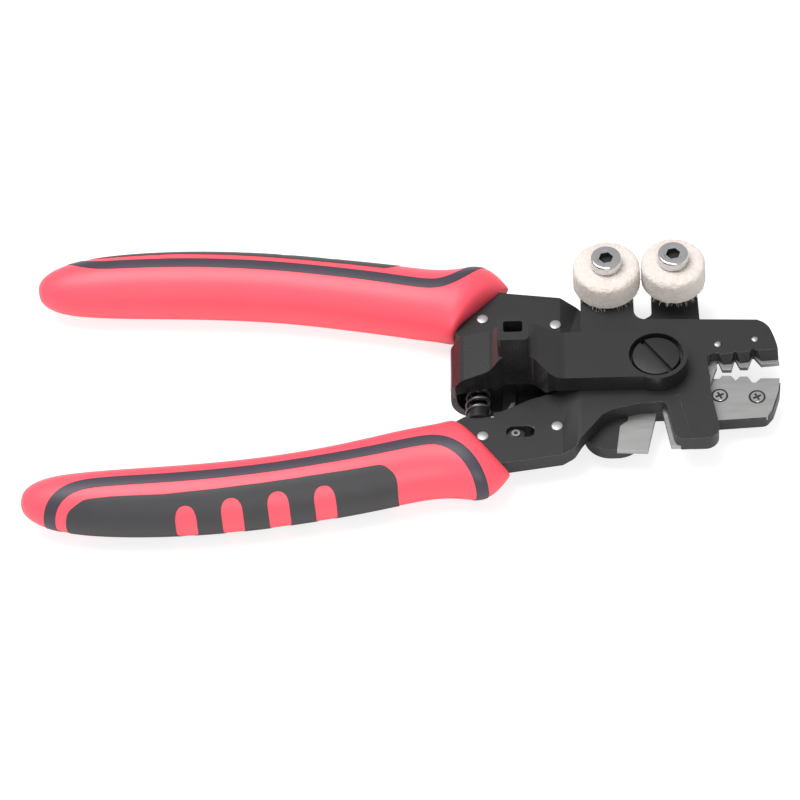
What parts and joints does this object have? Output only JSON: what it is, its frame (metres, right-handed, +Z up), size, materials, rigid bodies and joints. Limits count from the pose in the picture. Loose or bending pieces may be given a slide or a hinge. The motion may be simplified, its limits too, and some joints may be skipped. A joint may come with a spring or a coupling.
{
  "type": "fibre stripper",
  "caption": "Fibre stripper with notched stripping jaws, a side cutter, two felt cleaning wheels and sprung two-colour handles.",
  "frame": {"origin": "on the pivot axis, in the plane that the tool lies on", "axes": "+X from the handles to the jaws, +Y to the felt wheels, +Z up from the plane that it lies on"},
  "size_m": [0.1739, 0.0822, 0.0255],
  "materials": {
    "black_metal": "satin",
    "black_screw": "satin",
    "grip_rubber": "satin",
    "pad_rubber": "matte",
    "blade_steel": "brushed",
    "felt": "matte",
    "plated_steel": "polished"
  },
  "bodies": {
    "back_lever": {"back_plate": "black_metal", "upper_grip": "grip_rubber", "upper_grip_pad": "pad_rubber", "upper_grip_stripe": "pad_rubber", "upper_shank_rivets": "plated_steel", "lower_jaw_blade": "blade_steel", "lower_jaw_screws": "black_screw", "cutter_blade": "blade_steel", "cutter_blade_screw": "plated_steel", "pivot_screw": "black_screw", "pivot_nut": "black_screw", "right_wheel_post": "black_metal", "right_wheel_screw": "plated_steel", "lock_catch_pin": "plated_steel", "upper_spring_seat": "plated_steel"},
    "front_lever": {"front_plate": "black_metal", "lower_grip": "grip_rubber", "lower_grip_pad": "pad_rubber", "lower_grip_stripe": "pad_rubber", "lower_shank_rivets": "plated_steel", "upper_jaw_blade": "blade_steel", "upper_jaw_screws": "plated_steel", "anvil_blade": "blade_steel", "anvil_blade_screw": "plated_steel", "left_wheel_screw": "plated_steel", "lower_spring_seat": "plated_steel"},
    "spring_clip": {"spring_cover": "black_metal", "return_spring": "plated_steel"},
    "lock_slider": {"lock_hook": "black_metal", "lock_slider_block": "black_metal", "lock_pin": "plated_steel"},
    "left_wheel": {"left_felt_wheel": "felt", "left_wheel_bush": "plated_steel"},
    "right_wheel": {"right_felt_wheel": "felt", "right_wheel_bush": "plated_steel"}
  },
  "joints": [
    {"name": "jaw_hinge", "type": "hinge", "parent": "back_lever", "child": "front_lever", "pos_m": [0, 0, 0.0075], "axis": [0, 0, -1], "range_deg": [0, 14], "stiffness_Nm_per_rad": 0.6, "springref_deg": -17.19, "deforming": ["return_spring", "left_felt_wheel", "right_felt_wheel"]},
    {"name": "cover_hinge", "type": "hinge", "parent": "back_lever", "child": "spring_clip", "pos_m": [0, 0, 0.0075], "axis": [0, 0, -1], "range_deg": [0, 7]},
    {"name": "lock_slide", "type": "slide", "parent": "front_lever", "child": "lock_slider", "axis": [1, 0, 0], "range_m": [0, 0.0021]},
    {"name": "left_wheel_turn", "type": "hinge", "parent": "front_lever", "child": "left_wheel", "pos_m": [-0.0109, 0.0253, 0.015], "axis": [0, 0, 1], "continuous": true},
    {"name": "right_wheel_turn", "type": "hinge", "parent": "back_lever", "child": "right_wheel", "pos_m": [0.0047, 0.026, 0.015], "axis": [0, 0, 1], "continuous": true}
  ],
  "couplings": [
    {"joint": "cover_hinge", "follows": "jaw_hinge", "ratio": 0.5}
  ]
}
